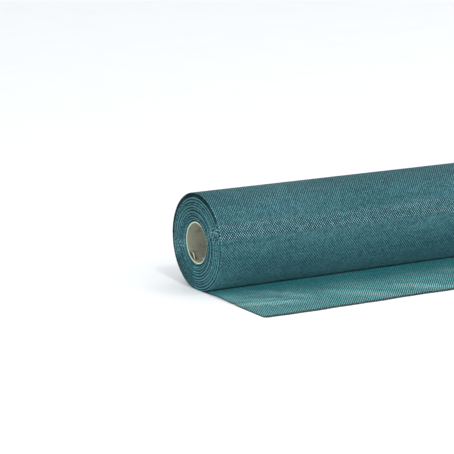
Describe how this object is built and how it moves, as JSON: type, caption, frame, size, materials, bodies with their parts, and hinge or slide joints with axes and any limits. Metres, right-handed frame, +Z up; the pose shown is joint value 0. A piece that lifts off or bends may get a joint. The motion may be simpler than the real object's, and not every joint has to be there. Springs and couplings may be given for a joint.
{
  "type": "roll of fiberglass insect screen",
  "caption": "Roll of fine woven insect screen on a cardboard core, lying on the floor with its loose end drawn out flat to the front.",
  "frame": {"origin": "on the floor, in the middle of the narrow flat that the roll rests on", "axes": "+X along the roll, +Z up, -Y to the front, where the loose end lies"},
  "size_m": [1.0023, 0.2154, 0.1164],
  "materials": {
    "core_cardboard": "matt spirally wound paper, paler at the cut rim",
    "wound_screen": "many layers of vinyl-coated glass yarn in plain weave, soft sheen, deep teal",
    "single_screen": "one layer of vinyl-coated glass yarn in open plain weave, the floor shows through it"
  },
  "bodies": {
    "root": {"cardboard_core": "core_cardboard", "screen_roll": "wound_screen", "loose_end": "single_screen"}
  },
  "joints": []
}
